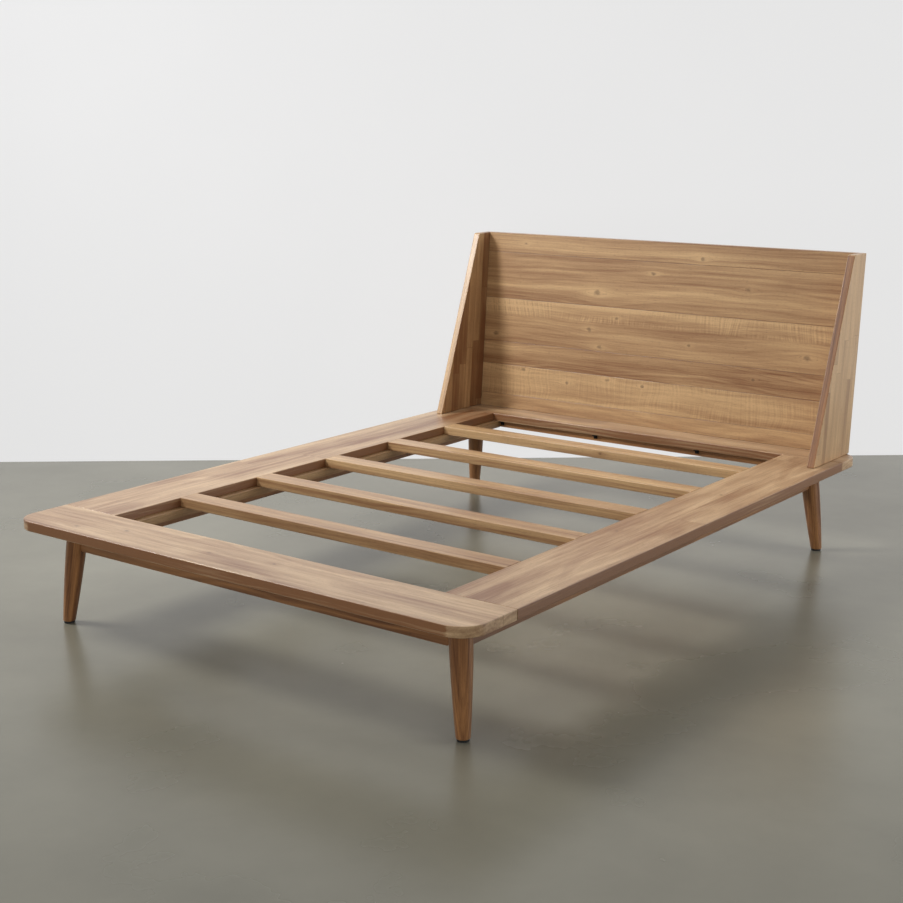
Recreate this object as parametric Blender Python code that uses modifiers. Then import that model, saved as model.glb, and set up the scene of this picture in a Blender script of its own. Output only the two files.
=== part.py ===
"""Wooden platform bed: deck boards on round splayed legs, five slats, leaning headboard with two wings.

Metres, Z up. The foot end points to -Y and the head end to +Y; the floor is z = 0, and the origin lies
under the middle of the whole bed.
"""

import math

import bmesh
import bpy
from mathutils import Vector

# ---------------------------------------------------------------- sizes
GAP = 0.0003                 # space left between pieces that touch

DECK_WIDTH = 1.560
DECK_LENGTH = 2.130
DECK_HEIGHT = 0.311          # floor to the top of the deck boards
BOARD_THICK = 0.028          # deck boards and slats share one thickness
DECK_CORNER_RADIUS = 0.070
FOOT_BOARD_WIDTH = 0.186
HEAD_BOARD_WIDTH = 0.139
SIDE_BOARD_WIDTH = 0.205

SLAT_COUNT = 5
SLAT_WIDTH = 0.067
FIRST_SLAT_SPACE = 0.245     # foot board to the first slat
LAST_SLAT_SPACE = 0.2346     # last slat to the head board

LEG_TOP_INSET = 0.1175       # deck side edge to the leg axis, at the top of the leg
LEG_END_INSET = 0.1290       # deck end edge to the leg axis, at the top of the leg
LEG_SPLAY = math.radians(5.7)   # lean of the leg axis, outwards and endwards alike
LEG_TOP_RADIUS = 0.0292
LEG_FOOT_RADIUS = 0.0172
LEG_SWELL = 1.75             # 1 is a straight cone; more keeps the leg fuller
LEG_STATIONS = 8
GLIDE_RADIUS = 0.0150
GLIDE_THICK = 0.006
COPE_CLEARANCE = 0.0006      # apron end to the round leg it is shaped to

APRON_THICK = 0.025
APRON_PROUD = 0.0145         # apron's outer face beyond the leg axis
APRON_HEIGHT = 0.070
HEAD_RAIL_HEIGHT = 0.022
HEAD_RAIL_SETBACK = 0.015   # the head rail stands this much further out than the foot apron does
APRON_END = 0.020            # where an apron stops short of the leg axis, before it is coped
APRON_CORNER_RADIUS = 0.010

LEDGER_WIDTH = 0.045
LEDGER_HEIGHT = 0.024
LEDGER_LIP = 0.018           # how far a ledger reaches in past the side board, to carry the slats
BLOCK_CLEARANCE = 0.012      # leg's top to the slanted face of the corner block behind it
BLOCK_REACH = 0.120          # corner block, leg axis to its far end along the side apron
BLOCK_HEIGHT = 0.045
HEAD_BLOCK_HEIGHT = 0.022

HEADBOARD_HEIGHT = 0.645     # deck top to headboard top
HEADBOARD_THICK = 0.025
HEADBOARD_LEAN = math.radians(4.9)
PLANK_SHARES = (0.079, 0.171, 0.132, 0.248, 0.262, 0.108)   # of the headboard's height, bottom to top
WING_INSET = 0.038           # deck side edge to the wing's outer face
WING_THICK = 0.025
WING_DEPTH_LOW = 0.270
WING_DEPTH_TOP = 0.090

BRACKET_COUNT = 3
BRACKET_END_SPACE = 0.030    # left side board to the middle of the first bracket
BRACKET_PITCH = 0.4015
BRACKET_WIDTH = 0.014
BRACKET_LEG = 0.014
BRACKET_THICK = 0.0025

BOARD_EASE = 0.0025          # small rounding on the exposed edges of boards and wings
SLAT_EASE = 0.0015
RAIL_EASE = 0.0012
PLANK_EASE = 0.0008

# ---------------------------------------------------------------- derived places
OVERHANG = HEADBOARD_HEIGHT * math.tan(HEADBOARD_LEAN)
HALF_WIDTH = DECK_WIDTH / 2
FOOT_Y = -(DECK_LENGTH + OVERHANG) / 2
HEAD_Y = FOOT_Y + DECK_LENGTH
FOOT_INNER_Y = FOOT_Y + FOOT_BOARD_WIDTH
HEAD_INNER_Y = HEAD_Y - HEAD_BOARD_WIDTH
SIDE_INNER_X = HALF_WIDTH - SIDE_BOARD_WIDTH
SLAT_ROOM = HEAD_INNER_Y - FOOT_INNER_Y - FIRST_SLAT_SPACE - LAST_SLAT_SPACE
SLAT_PITCH = (SLAT_ROOM - SLAT_WIDTH) / (SLAT_COUNT - 1)
DECK_UNDER = DECK_HEIGHT - BOARD_THICK
RAIL_TOP = DECK_UNDER - GAP
LEDGER_OUTER_X = SIDE_INNER_X - LEDGER_LIP + LEDGER_WIDTH
LEG_X = HALF_WIDTH - LEG_TOP_INSET
LEG_FOOT_Y = FOOT_Y + LEG_END_INSET
LEG_HEAD_Y = HEAD_Y - LEG_END_INSET
LEG_CORNERS = {
    "foot_left": (-1, -1, LEG_FOOT_Y),
    "foot_right": (1, -1, LEG_FOOT_Y),
    "head_left": (-1, 1, LEG_HEAD_Y),
    "head_right": (1, 1, LEG_HEAD_Y),
}
# The low-Y faces of the end aprons, and the inner faces of the side aprons.
FOOT_APRON_Y = LEG_FOOT_Y - APRON_PROUD
HEAD_APRON_Y = LEG_HEAD_Y + APRON_PROUD - APRON_THICK + HEAD_RAIL_SETBACK
SIDE_APRON_X = LEG_X + APRON_PROUD - APRON_THICK

WOOD_HONEY = ((0.36, 0.20, 0.10), 0.50, 0.0)
WOOD_TAN = ((0.42, 0.25, 0.13), 0.50, 0.0)
WOOD_BROWN = ((0.24, 0.12, 0.055), 0.52, 0.0)
WOOD_DARK = ((0.16, 0.08, 0.035), 0.55, 0.0)
STEEL_BLACK = ((0.03, 0.03, 0.03), 0.40, 0.9)
RUBBER = ((0.02, 0.02, 0.02), 0.80, 0.0)

TINY = 1e-5                  # for telling places apart, and for merging points that coincide


def start_scene():
    """Empties the scene and makes the two collections."""
    for item in list(bpy.data.objects):
        bpy.data.objects.remove(item, do_unlink=True)
    bed = bpy.data.collections.new("wooden_bed_frame")
    cutters = bpy.data.collections.new("cutters")
    for collection in (bed, cutters):
        bpy.context.scene.collection.children.link(collection)
    cutters.hide_render = True
    return bed, cutters


BED, CUTTERS = start_scene()


def finish_material(name, look):
    colour, roughness, metallic = look
    material = bpy.data.materials.new(name)
    material.use_nodes = True
    shader = material.node_tree.nodes["Principled BSDF"]
    shader.inputs["Base Color"].default_value = (*colour, 1.0)
    shader.inputs["Roughness"].default_value = roughness
    shader.inputs["Metallic"].default_value = metallic
    return material


def place_object(name, data, place, look):
    """Links an object at its place: in the bed with a finish, or among the cutters without one."""
    item = bpy.data.objects.new(name, data)
    item.location = place
    if look is None:
        item.display_type = "WIRE"
        CUTTERS.objects.link(item)
    else:
        data.materials.append(finish_material(name + "_finish", look))
        BED.objects.link(item)
    return item


# ---------------------------------------------------------------- ways of making a piece
def round_edges(shape, radius, segments, chosen):
    """Bevels the edges for which chosen(middle, direction) holds."""
    edges = []
    for edge in shape.edges:
        first, second = (vertex.co for vertex in edge.verts)
        if chosen((first + second) / 2, (second - first).normalized()):
            edges.append(edge)
    bmesh.ops.bevel(
        shape, geom=edges, offset=radius, segments=segments, profile=0.5, affect="EDGES", clamp_overlap=True
    )


def box(name, low, high, look, *roundings):
    """A box between two corners, its origin in its middle; each rounding is (radius, segments, chosen)."""
    low, high = Vector(low), Vector(high)
    shape = bmesh.new()
    bmesh.ops.create_cube(shape, size=1.0)
    bmesh.ops.scale(shape, vec=high - low, verts=shape.verts[:])
    for rounding in roundings:
        round_edges(shape, *rounding)
    mesh = bpy.data.meshes.new(name)
    shape.to_mesh(mesh)
    shape.free()
    mesh.shade_smooth()
    mesh.set_sharp_from_angle(angle=math.radians(35))
    return place_object(name, mesh, (low + high) / 2, look)


def cut_out(name, outline, thick, place, look, turn=(0.0, 0.0, 0.0), ease=0.0):
    """A flat piece from its outline, middle of its thickness at place, with all its edges eased."""
    curve = bpy.data.curves.new(name, "CURVE")
    curve.dimensions = "2D"
    curve.fill_mode = "BOTH"
    curve.extrude = thick / 2
    spline = curve.splines.new("POLY")
    spline.points.add(len(outline) - 1)
    for point, (across, up) in zip(spline.points, outline):
        point.co = (across, up, 0.0, 1.0)
    spline.use_cyclic_u = True
    piece = place_object(name, curve, place, look)
    piece.rotation_euler = turn
    if ease:
        piece.modifiers.new("join_caps", "WELD").merge_threshold = TINY
        bevel = piece.modifiers.new("ease", "BEVEL")
        bevel.width = ease
        bevel.segments = 2
        bevel.limit_method = "ANGLE"
        bevel.angle_limit = math.radians(40)
    return piece


def turned(name, stations, place, look, steps, turn=(0.0, 0.0, 0.0)):
    """A round piece from its (radius, height) stations, top to bottom, spun about its own Z axis."""
    points = [(0.0, 0.0, stations[0][1])]
    points += [(radius, 0.0, height) for radius, height in stations]
    points.append((0.0, 0.0, stations[-1][1]))
    mesh = bpy.data.meshes.new(name)
    mesh.from_pydata(points, [(index, index + 1) for index in range(len(points) - 1)], [])
    piece = place_object(name, mesh, place, look)
    piece.rotation_euler = turn
    spin = piece.modifiers.new("spin", "SCREW")
    spin.steps = spin.render_steps = steps
    spin.use_merge_vertices = True
    spin.merge_threshold = TINY
    spin.use_smooth_shade = True
    return piece


def cut(piece, cutter_name, operation="DIFFERENCE"):
    boolean = piece.modifiers.new(cutter_name, "BOOLEAN")
    boolean.operation = operation
    boolean.solver = "EXACT"
    boolean.object = CUTTERS.objects[cutter_name]


# ---------------------------------------------------------------- deck boards and slats
def end_board(name, joint_y, end_y, look):
    """The full-width board at one end, with rounded outer corners and an eased outer rim."""
    outwards = math.copysign(1, end_y - joint_y)
    reach = abs(end_y - joint_y) / 2
    box(
        name,
        (-HALF_WIDTH, min(joint_y, end_y), DECK_UNDER), (HALF_WIDTH, max(joint_y, end_y), DECK_HEIGHT), look,
        (DECK_CORNER_RADIUS, 10, lambda p, along: abs(along.z) > 0.9 and p.y * outwards > reach - TINY),
        (BOARD_EASE, 2, lambda p, along: abs(along.z) < 0.1 and p.y * outwards > TINY - reach),
    )


def side_board(name, side):
    inner, outer = sorted((side * SIDE_INNER_X, side * HALF_WIDTH))
    box(
        name,
        (inner, FOOT_INNER_Y + GAP, DECK_UNDER), (outer, HEAD_INNER_Y - GAP, DECK_HEIGHT), WOOD_TAN,
        (BOARD_EASE, 2, lambda p, along: abs(along.y) > 0.9 and p.x * side > 0),
    )


def slat(number):
    reach = SIDE_INNER_X - GAP
    front = FOOT_INNER_Y + FIRST_SLAT_SPACE + (number - 1) * SLAT_PITCH
    box(
        f"slat_{number}",
        (-reach, front, DECK_UNDER), (reach, front + SLAT_WIDTH, DECK_HEIGHT), WOOD_TAN,
        (SLAT_EASE, 2, lambda p, along: abs(along.x) > 0.9),
    )


def deck():
    end_board("deck_board_foot", FOOT_INNER_Y, FOOT_Y, WOOD_TAN)
    end_board("deck_board_head", HEAD_INNER_Y, HEAD_Y, WOOD_HONEY)
    side_board("deck_board_left", -1)
    side_board("deck_board_right", 1)
    for number in range(1, SLAT_COUNT + 1):
        slat(number)


# ---------------------------------------------------------------- legs
def leg_radius(share):
    """The leg's radius at this share of its height, 0 at the floor."""
    return LEG_FOOT_RADIUS + (LEG_TOP_RADIUS - LEG_FOOT_RADIUS) * (1 - (1 - share) ** LEG_SWELL)


def leg(corner, side, end, axis_y):
    """A leaning turned leg, cut level at both ends, its glide, and the cutter that copes the aprons to it."""
    top = Vector((side * LEG_X, axis_y, RAIL_TOP))
    lean = Vector((side * math.tan(LEG_SPLAY), end * math.tan(LEG_SPLAY), -1.0))
    turn = (-lean).to_track_quat("Z", "Y").to_euler()
    length = RAIL_TOP * lean.length
    spare = 2 * LEG_TOP_RADIUS * math.tan(LEG_SPLAY)
    shares = [step / LEG_STATIONS for step in range(LEG_STATIONS + 1)]
    stations = [(leg_radius(1 - share), -share * length) for share in shares]
    beyond = [(LEG_TOP_RADIUS, spare), *stations, (LEG_FOOT_RADIUS, -length - spare)]
    piece = turned("leg_" + corner, beyond, top, WOOD_BROWN, 40, turn)
    cut(piece, "level_slab", "INTERSECT")
    wider = [(radius + COPE_CLEARANCE, height) for radius, height in beyond]
    turned("cope_" + corner, wider, top, None, 40, turn)
    foot = top + lean * (RAIL_TOP - GLIDE_THICK)
    disc = [(GLIDE_RADIUS, GLIDE_THICK), (GLIDE_RADIUS, 0.0)]
    turned("glide_" + corner, disc, (foot.x, foot.y, 0.0), RUBBER, 32)


def legs():
    reach = DECK_LENGTH + DECK_WIDTH
    box("level_slab", (-reach, -reach, GLIDE_THICK + GAP), (reach, reach, RAIL_TOP), None)
    for corner, stand in LEG_CORNERS.items():
        leg(corner, *stand)


# ---------------------------------------------------------------- aprons, ledgers and blocks
def apron(name, low, high, corners):
    """An upright rail with rounded lower corners, coped to the two legs it runs between."""
    long_axis = 0 if high[0] - low[0] > high[1] - low[1] else 1
    rail = box(
        name, low, high, WOOD_BROWN,
        (APRON_CORNER_RADIUS, 6, lambda p, along: p.z < 0 and abs(along[1 - long_axis]) > 0.9),
    )
    for corner in corners:
        cut(rail, "cope_" + corner)


def aprons():
    x_end = LEG_X - APRON_END
    low, head_low = RAIL_TOP - APRON_HEIGHT, RAIL_TOP - HEAD_RAIL_HEIGHT
    apron("apron_foot", (-x_end, FOOT_APRON_Y, low), (x_end, FOOT_APRON_Y + APRON_THICK, RAIL_TOP),
          ("foot_left", "foot_right"))
    apron("apron_head", (-x_end, HEAD_APRON_Y, head_low), (x_end, HEAD_APRON_Y + APRON_THICK, RAIL_TOP),
          ("head_left", "head_right"))
    for name, side in (("left", -1), ("right", 1)):
        inner, outer = sorted((side * SIDE_APRON_X, side * (SIDE_APRON_X + APRON_THICK)))
        apron(
            "apron_" + name,
            (inner, LEG_FOOT_Y + APRON_END, low), (outer, LEG_HEAD_Y - APRON_END, RAIL_TOP),
            ("foot_" + name, "head_" + name),
        )


def ledgers():
    """The rails under the side boards whose inner lips carry the slats; they keep clear of the legs."""
    start, stop = FOOT_APRON_Y + APRON_THICK + GAP, HEAD_APRON_Y - GAP
    for name, side in (("left", -1), ("right", 1)):
        inner, outer = sorted((side * (LEDGER_OUTER_X - LEDGER_WIDTH), side * LEDGER_OUTER_X))
        ledger = box(
            "slat_ledger_" + name,
            (inner, start, RAIL_TOP - LEDGER_HEIGHT), (outer, stop, RAIL_TOP), WOOD_BROWN,
            (RAIL_EASE, 2, lambda p, along: True),
        )
        for corner in ("foot_" + name, "head_" + name):
            cut(ledger, "cope_" + corner)


def corner_blocks():
    """A block in each corner of the aprons, between ledger and side apron, slanted clear of the leg."""
    inner = APRON_THICK - APRON_PROUD + GAP
    across = LEG_X - LEDGER_OUTER_X - GAP
    slant = (LEG_TOP_RADIUS + BLOCK_CLEARANCE) * math.sqrt(2)
    along = max(inner, slant - across)
    corners = [(inner, slant - inner), (slant - along, along), (across, along), (inner, BLOCK_REACH)]
    for corner, (side, end, axis_y) in LEG_CORNERS.items():
        height = HEAD_BLOCK_HEIGHT if end > 0 else BLOCK_HEIGHT
        outline = [(-side * u, -end * v) for u, v in corners]
        cut_out("corner_block_" + corner, outline, height, (side * LEG_X, axis_y, RAIL_TOP - height / 2),
                WOOD_DARK, ease=RAIL_EASE)


# ---------------------------------------------------------------- headboard
def headboard_rear(height):
    """Where the leaning rear face stands at this height above the deck."""
    return HEAD_Y + height * math.tan(HEADBOARD_LEAN)


def side_profile(name, profile, x_low, x_high, look, ease):
    """A piece with this outline in (y, height above the deck), running along X."""
    place = ((x_low + x_high) / 2, 0.0, DECK_HEIGHT)
    cut_out(name, profile, x_high - x_low, place, look, (math.pi / 2, 0.0, math.pi / 2), ease)


def headboard():
    inner = HALF_WIDTH - WING_INSET - WING_THICK
    low = GAP
    looks = (WOOD_HONEY, WOOD_DARK, WOOD_HONEY, WOOD_TAN, WOOD_BROWN, WOOD_TAN)
    for number, (share, look) in enumerate(zip(PLANK_SHARES, looks), 1):
        high = low + share * (HEADBOARD_HEIGHT - GAP)
        top = high - GAP if number < len(PLANK_SHARES) else high
        profile = [
            (headboard_rear(low) - HEADBOARD_THICK, low),
            (headboard_rear(low), low),
            (headboard_rear(top), top),
            (headboard_rear(top) - HEADBOARD_THICK, top),
        ]
        side_profile(f"headboard_plank_{number}", profile, -inner + GAP, inner - GAP, look, PLANK_EASE)
        low = high
    wing = [
        (HEAD_Y - WING_DEPTH_LOW, GAP),
        (headboard_rear(GAP), GAP),
        (headboard_rear(HEADBOARD_HEIGHT), HEADBOARD_HEIGHT),
        (headboard_rear(HEADBOARD_HEIGHT) - WING_DEPTH_TOP, HEADBOARD_HEIGHT),
    ]
    side_profile("headboard_wing_left", wing, -inner - WING_THICK, -inner, WOOD_TAN, BOARD_EASE)
    side_profile("headboard_wing_right", wing, inner, inner + WING_THICK, WOOD_TAN, BOARD_EASE)


def head_brackets():
    """Small steel angles that hold the head board down to the head rail."""
    t, leg_length = BRACKET_THICK, BRACKET_LEG
    angle = [(0, 0), (-leg_length, 0), (-leg_length, -t), (-t, -t), (-t, -leg_length), (0, -leg_length)]
    for number in range(BRACKET_COUNT):
        x = -SIDE_INNER_X + BRACKET_END_SPACE + number * BRACKET_PITCH
        cut_out(f"head_bracket_{number + 1}", angle, BRACKET_WIDTH, (x, HEAD_APRON_Y - GAP, RAIL_TOP),
                STEEL_BLACK, (math.pi / 2, 0.0, math.pi / 2))


deck()
legs()
aprons()
ledgers()
corner_blocks()
headboard()
head_brackets()
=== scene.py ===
"""Looks of the wooden platform bed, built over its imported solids.

Every sub-assembly is a class that models its pieces from the solids' own boxes and dresses them in oiled
timber, black steel or rubber. A plain room, four soft lights and a camera close the file.
"""

import logging
import math
from dataclasses import dataclass
from enum import Enum
from functools import cache
from typing import Callable, Sequence, Union

import bpy
from mathutils import Matrix, Vector


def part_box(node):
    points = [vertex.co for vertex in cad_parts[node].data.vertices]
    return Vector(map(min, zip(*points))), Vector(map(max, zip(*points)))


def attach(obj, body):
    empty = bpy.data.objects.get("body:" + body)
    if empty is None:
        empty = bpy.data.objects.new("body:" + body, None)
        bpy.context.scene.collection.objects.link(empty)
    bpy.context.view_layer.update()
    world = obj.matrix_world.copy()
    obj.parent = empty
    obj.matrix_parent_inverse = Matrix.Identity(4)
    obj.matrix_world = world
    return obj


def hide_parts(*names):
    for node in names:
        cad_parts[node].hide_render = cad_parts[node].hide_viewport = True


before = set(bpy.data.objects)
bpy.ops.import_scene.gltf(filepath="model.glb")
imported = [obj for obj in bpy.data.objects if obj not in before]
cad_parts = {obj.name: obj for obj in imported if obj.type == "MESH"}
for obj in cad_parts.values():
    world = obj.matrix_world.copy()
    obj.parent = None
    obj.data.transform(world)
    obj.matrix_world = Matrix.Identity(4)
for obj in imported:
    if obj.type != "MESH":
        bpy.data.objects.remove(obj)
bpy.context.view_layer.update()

LOG = logging.getLogger("bed")

Colour = tuple[float, float, float]
Value = Union[float, Sequence[float], bpy.types.NodeSocket]
Test = Callable[[Vector, Vector], bool]


def srgb(red: int, green: int, blue: int) -> Colour:
    """Turns a screen colour into the linear one that a shader takes.

    Args:
        red: Red, from 0 to 255.
        green: Green, from 0 to 255.
        blue: Blue, from 0 to 255.

    Returns:
        The linear colour, each part from 0 to 1.
    """
    parts = [part / 255 for part in (red, green, blue)]
    return tuple(part / 12.92 if part < 0.04045 else ((part + 0.055) / 1.055) ** 2.4 for part in parts)


class Way(Enum):
    """A direction on the bed: across it, along it from foot to head, and up."""

    ACROSS = (1.0, 0.0, 0.0)
    ALONG = (0.0, 1.0, 0.0)
    UP = (0.0, 0.0, 1.0)

    @property
    def arrow(self) -> Vector:
        """The direction as a vector."""
        return Vector(self.value)


class End(Enum):
    """An end of the bed, by the name that its pieces carry."""

    FOOT = "foot"
    HEAD = "head"


class Side(Enum):
    """A side of the bed as seen from its foot, by the name that its pieces carry."""

    LEFT = "left"
    RIGHT = "right"


class Pick(Enum):
    """What is chosen when a piece is opened for editing."""

    EDGE = "EDGE"
    FACE = "FACE"


# ---------------------------------------------------------------- shader graphs
class Graph:
    """Short ways of adding and joining the nodes of one shader tree."""

    def __init__(self, tree: bpy.types.NodeTree) -> None:
        """Takes the tree that the nodes go into."""
        self.tree = tree

    def add(self, kind: str, settings: dict[str, object] | None = None, **inputs: Value) -> bpy.types.Node:
        """Adds a node.

        Args:
            kind: The node's type name, without ShaderNode in front.
            settings: The node's own properties.
            **inputs: What its inputs take; an underscore stands for a space.

        Returns:
            The new node.
        """
        node = self.tree.nodes.new("ShaderNode" + kind)
        for name, value in (settings or {}).items():
            setattr(node, name, value)
        for name, value in inputs.items():
            self.join(value, node.inputs[name.replace("_", " ")])
        return node

    def join(self, value: Value, socket: bpy.types.NodeSocket) -> None:
        """Links a socket, or sets a plain number, into an input.

        Args:
            value: The socket, number or colour.
            socket: The input that takes it.
        """
        if isinstance(value, bpy.types.NodeSocket):
            self.tree.links.new(value, socket)
        elif hasattr(value, "__len__") and len(value) < len(socket.default_value):
            socket.default_value = (*value, 1.0)
        else:
            socket.default_value = value

    def maths(self, operation: str, *values: Value, clamp: bool = False) -> bpy.types.NodeSocket:
        """Adds a Math node and returns its value.

        Args:
            operation: What the node works out.
            *values: What its inputs take.
            clamp: Whether the value is held between 0 and 1.

        Returns:
            Its value.
        """
        node = self.add("Math", {"operation": operation, "use_clamp": clamp})
        for socket, value in zip(node.inputs, values):
            self.join(value, socket)
        return node.outputs[0]

    def arrows(self, operation: str, *values: Value) -> bpy.types.NodeSocket:
        """Adds a Vector Math node and returns its vector, or its length.

        Args:
            operation: What the node works out.
            *values: What its inputs take.

        Returns:
            Its vector, or its length.
        """
        node = self.add("VectorMath", {"operation": operation})
        for socket, value in zip(node.inputs, values):
            self.join(value, socket)
        return node.outputs["Value" if operation in ("LENGTH", "DISTANCE") else "Vector"]

    def spread(self, value: Value, low: float, high: float, to_low: float = 0.0, to_high: float = 1.0,
               smooth: bool = False) -> bpy.types.NodeSocket:
        """Maps a value from one range to another, held at its ends.

        Args:
            value: The value.
            low: Where its range starts.
            high: Where its range ends.
            to_low: What the start becomes.
            to_high: What the end becomes.
            smooth: Whether it eases in and out.

        Returns:
            The mapped value.
        """
        node = self.add("MapRange", {"interpolation_type": "SMOOTHSTEP" if smooth else "LINEAR"})
        for name, part in (("Value", value), ("From Min", low), ("From Max", high),
                           ("To Min", to_low), ("To Max", to_high)):
            self.join(part, node.inputs[name])
        return node.outputs[0]

    def tint(self, share: Value, first: Value, second: Value, way: str = "MIX") -> bpy.types.NodeSocket:
        """Mixes two colours.

        Args:
            share: How much of the second shows.
            first: The first colour.
            second: The second colour.
            way: How they are blended.

        Returns:
            The mixed colour.
        """
        node = self.add("Mix", {"data_type": "RGBA", "blend_type": way})
        for index, value in ((0, share), (6, first), (7, second)):
            self.join(value, node.inputs[index])
        return node.outputs[2]

    def noise(self, place: Value, scale: float, detail: float = 2.0,
              rough: float = 0.5) -> bpy.types.NodeSocket:
        """Adds 3-D noise and returns its value, about 0 to 1."""
        node = self.add("TexNoise", None, Vector=place, Scale=scale, Detail=detail, Roughness=rough)
        return node.outputs[0]

    def bands(self, turns: Value, detail: float, rough: float = 0.5) -> bpy.types.NodeSocket:
        """Adds noise along one line and returns its value, about 0 to 1."""
        settings = {"noise_dimensions": "1D"}
        return self.add("TexNoise", settings, W=turns, Scale=1.0, Detail=detail, Roughness=rough).outputs[0]

    def stretch(self, place: Value, scale: Sequence[float]) -> bpy.types.NodeSocket:
        """Scales a place along its three axes."""
        return self.arrows("MULTIPLY", place, scale)

    def parts(self, place: Value) -> tuple[bpy.types.NodeSocket, ...]:
        """Splits a place into its along, across and depth."""
        return tuple(self.add("SeparateXYZ", None, Vector=place).outputs)

    def place(self, along: Value, across: Value, depth: Value) -> bpy.types.NodeSocket:
        """Joins along, across and depth into a place."""
        return self.add("CombineXYZ", None, X=along, Y=across, Z=depth).outputs[0]


def shared_group(name: str, takes: dict[str, Value], gives: Sequence[str]) -> tuple[Graph, dict, Callable]:
    """Starts a shader group that several finishes place with their own values.

    Args:
        name: The group's name.
        takes: Input names, each with the value it has until something else is set.
        gives: Names of the values it puts out.

    Returns:
        Its graph, its input sockets by name, and a function that fills an output.
    """
    tree = bpy.data.node_groups.new(name, "ShaderNodeTree")
    for title, default in takes.items():
        kind = "NodeSocketVector" if hasattr(default, "__len__") else "NodeSocketFloat"
        tree.interface.new_socket(title, in_out="INPUT", socket_type=kind).default_value = default
    for title in gives:
        tree.interface.new_socket(title, in_out="OUTPUT", socket_type="NodeSocketFloat")
    graph = Graph(tree)
    entry, leave = tree.nodes.new("NodeGroupInput"), tree.nodes.new("NodeGroupOutput")
    return graph, entry.outputs, lambda title, value: graph.join(value, leave.inputs[title])


# How quickly each figure changes along, across and through the grain, in turns a metre.
SWAY_GRAIN, RIPPLE_GRAIN = (1.3, 5, 5), (7, 26, 26)
CLOUD_GRAIN, STREAK_GRAIN = (1.9, 15, 15), (1.3, 70, 70)
FIBRE_GRAIN, PORE_GRAIN = (9, 420, 420), (70, 1500, 1500)
CURL_BEND_GRAIN, CURL_PATCH_GRAIN = (6, 9, 9), (3, 16, 3)
SEAM_WIDTH = 0.0009
STAVE_STRAY = 0.14       # how far the pith may lie to either side of a stave, all told
GRAIN_JUMP = 17.0        # how far apart along the timber two staves may have been cut


@cache
def growth_rings() -> bpy.types.NodeTree:
    """Year rings about a wandering pith: arches on flat faces, lines on quartered ones, arcs on end grain."""
    graph, takes, give = shared_group(
        "growth_rings",
        {"Vector": (0, 0, 0), "Gap": 0.006, "Pith Across": 0.0, "Pith Depth": 0.06, "Wander": 0.012},
        ("Rings", "Belts"),
    )
    place, wander = takes["Vector"], takes["Wander"]
    sway = graph.maths("SUBTRACT", graph.noise(graph.stretch(place, SWAY_GRAIN), 1.0, 2.0), 0.5)
    ripple = graph.maths("SUBTRACT", graph.noise(graph.stretch(place, RIPPLE_GRAIN), 1.0, 2.0), 0.5)
    _, across, depth = graph.parts(place)
    out = graph.maths("SUBTRACT", across, takes["Pith Across"])
    down = graph.maths("SUBTRACT", depth, takes["Pith Depth"])
    radius = graph.arrows("LENGTH", graph.place(0.0, out, down))
    radius = graph.maths("MULTIPLY_ADD", sway, graph.maths("MULTIPLY", wander, 4.0), radius)
    radius = graph.maths("MULTIPLY_ADD", ripple, graph.maths("MULTIPLY", wander, 0.35), radius)
    turns = graph.maths("DIVIDE", radius, takes["Gap"])
    give("Rings", graph.spread(graph.bands(turns, 1.5, 0.55), 0.30, 0.70))
    give("Belts", graph.spread(graph.bands(graph.maths("MULTIPLY", turns, 0.17), 1.0), 0.32, 0.68))
    return graph.tree


@cache
def fibres() -> bpy.types.NodeTree:
    """Broad clouds of tone, long streaks, the fine fibre between them, and short dark pores."""
    graph, takes, give = shared_group(
        "fibres", {"Vector": (0, 0, 0)}, ("Clouds", "Streaks", "Fibre", "Pores")
    )
    place = takes["Vector"]
    clouds = graph.noise(graph.stretch(place, CLOUD_GRAIN), 1.0, 3.0, 0.55)
    streaks = graph.noise(graph.stretch(place, STREAK_GRAIN), 1.0, 3.0, 0.62)
    fibre = graph.noise(graph.stretch(place, FIBRE_GRAIN), 1.0, 2.0, 0.6)
    pores = graph.noise(graph.stretch(place, PORE_GRAIN), 1.0, 0.0)
    give("Clouds", graph.spread(clouds, 0.32, 0.68))
    give("Streaks", graph.spread(streaks, 0.30, 0.70))
    give("Fibre", graph.spread(fibre, 0.28, 0.72))
    give("Pores", graph.spread(pores, 0.66, 0.80))
    return graph.tree


@cache
def branch_knot() -> bpy.types.NodeTree:
    """One knot through a board: its dark eye, the rings round it, and how far it pushes the grain aside."""
    graph, takes, give = shared_group(
        "branch_knot", {"Vector": (0, 0, 0), "Along": 0.0, "Across": 0.0, "Size": 0.01},
        ("Eye", "Halo", "Push"),
    )
    along, across, _ = graph.parts(takes["Vector"])
    ragged = graph.maths("SUBTRACT", graph.noise(takes["Vector"], 70.0, 2.0), 0.5)
    du = graph.maths("DIVIDE", graph.maths("SUBTRACT", along, takes["Along"]), takes["Size"])
    dv = graph.maths("DIVIDE", graph.maths("SUBTRACT", across, takes["Across"]), takes["Size"])
    near = graph.arrows("LENGTH", graph.place(graph.maths("MULTIPLY", du, 0.75), dv, 0.0))
    near = graph.maths("MULTIPLY_ADD", ragged, 1.5, near)
    give("Eye", graph.spread(near, 1.0, 0.25, smooth=True))
    oval = graph.place(graph.maths("MULTIPLY", du, 0.36), graph.maths("MULTIPLY", dv, 0.75), 0.0)
    wide = graph.arrows("LENGTH", oval)
    halo = graph.maths("EXPONENT", graph.maths("MULTIPLY", graph.maths("MULTIPLY", wide, wide), -0.5))
    give("Halo", halo)
    side = graph.maths("DIVIDE", dv, graph.maths("ADD", graph.maths("ABSOLUTE", dv), 0.35))
    push = graph.maths("MULTIPLY", graph.maths("MULTIPLY", side, halo), takes["Size"])
    give("Push", graph.maths("MULTIPLY", push, -1.1))
    return graph.tree


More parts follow.
